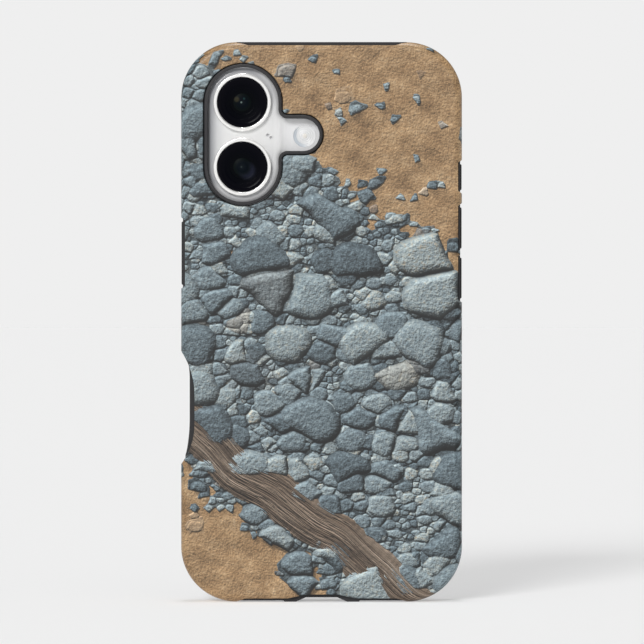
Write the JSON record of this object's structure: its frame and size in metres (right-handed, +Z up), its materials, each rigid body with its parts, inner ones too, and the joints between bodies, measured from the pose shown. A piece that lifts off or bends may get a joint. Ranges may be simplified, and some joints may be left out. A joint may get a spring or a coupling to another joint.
{
  "type": "smartphone in a two-layer protective case",
  "caption": "Smartphone standing upright in a rubber-lined hard case with a printed back, camera opening, raised key covers and cut-outs for port and camera key.",
  "frame": {"origin": "on the floor, under the middle of the bounding box, with the part standing on its bottom edge", "axes": "+Z up along the phone's length, +Y out of the screen, +X to the right as the back with the cameras is looked at"},
  "size_m": [0.0766, 0.0122, 0.1526],
  "materials": {
    "printed_shell": "satin printed polycarbonate in sand, slate blue-grey and driftwood brown",
    "black_rubber": "matte charcoal rubber",
    "white_aluminium": "fine matte anodised, near white",
    "white_glass": "opaque colour-backed glass, smooth",
    "black_glass": "opaque black glass, polished",
    "polished_metal": "polished",
    "flash_lens": "moulded diffuser with fine rings"
  },
  "bodies": {
    "phone_and_case": {"case_shell": "printed_shell", "case_liner": "black_rubber", "phone_frame": "white_aluminium", "back_glass": "white_glass", "display_glass": "black_glass", "lens_ring_upper": "polished_metal", "lens_ring_lower": "polished_metal", "lens_glass_upper": "black_glass", "lens_glass_lower": "black_glass", "flash": "flash_lens", "port_tongue": "black_glass", "screw_left": "polished_metal", "screw_right": "polished_metal"},
    "power": {"cover_power": "black_rubber", "key_power": "white_aluminium"},
    "action": {"cover_action": "black_rubber", "key_action": "white_aluminium"},
    "volume_up": {"cover_volume_up": "black_rubber", "key_volume_up": "white_aluminium"},
    "volume_down": {"cover_volume_down": "black_rubber", "key_volume_down": "white_aluminium"},
    "camera_key": {"key_camera": "white_aluminium"}
  },
  "joints": [
    {"name": "power_press", "type": "slide", "parent": "phone_and_case", "child": "power", "axis": [1, 0, 0], "range_m": [0, 0.0003], "stiffness_N_per_m": 5000},
    {"name": "action_press", "type": "slide", "parent": "phone_and_case", "child": "action", "axis": [-1, 0, 0], "range_m": [0, 0.0003], "stiffness_N_per_m": 5000},
    {"name": "volume_up_press", "type": "slide", "parent": "phone_and_case", "child": "volume_up", "axis": [-1, 0, 0], "range_m": [0, 0.0003], "stiffness_N_per_m": 5000},
    {"name": "volume_down_press", "type": "slide", "parent": "phone_and_case", "child": "volume_down", "axis": [-1, 0, 0], "range_m": [0, 0.0003], "stiffness_N_per_m": 5000},
    {"name": "camera_key_press", "type": "slide", "parent": "phone_and_case", "child": "camera_key", "axis": [1, 0, 0], "range_m": [0, 0.0002], "stiffness_N_per_m": 8000}
  ]
}
